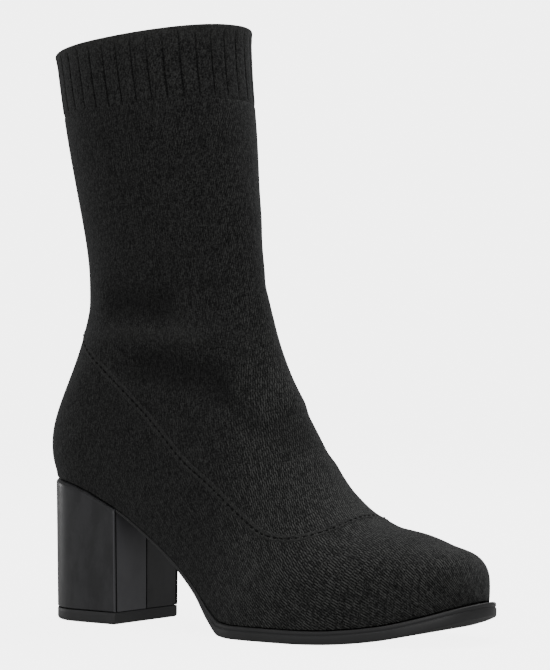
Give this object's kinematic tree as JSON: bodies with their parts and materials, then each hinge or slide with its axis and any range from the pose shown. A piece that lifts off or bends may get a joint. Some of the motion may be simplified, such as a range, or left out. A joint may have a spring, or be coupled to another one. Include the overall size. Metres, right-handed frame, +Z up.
{
  "type": "sock boot",
  "caption": "Right ankle-height sock boot of black knit with a ribbed collar, rounded square toe and covered block heel.",
  "frame": {"origin": "on the floor, in the middle of the ground face of the heel's top lift", "axes": "+X towards the toe, +Y towards the inner side of the foot, +Z up; the outer side faces -Y"},
  "size_m": [0.2379, 0.0849, 0.2855],
  "materials": {
    "knit": "matt black heathered knit, ribbed at the collar",
    "outsole_rubber": "satin black moulded rubber",
    "footbed": "plain dark textile footbed",
    "heel_cover": "smooth satin black cover with dark edge seams",
    "lift_rubber": "matt black rubber"
  },
  "bodies": {
    "root": {"upper": "knit", "outsole": "outsole_rubber", "insole": "footbed", "heel_block": "heel_cover", "top_lift": "lift_rubber"}
  },
  "joints": []
}
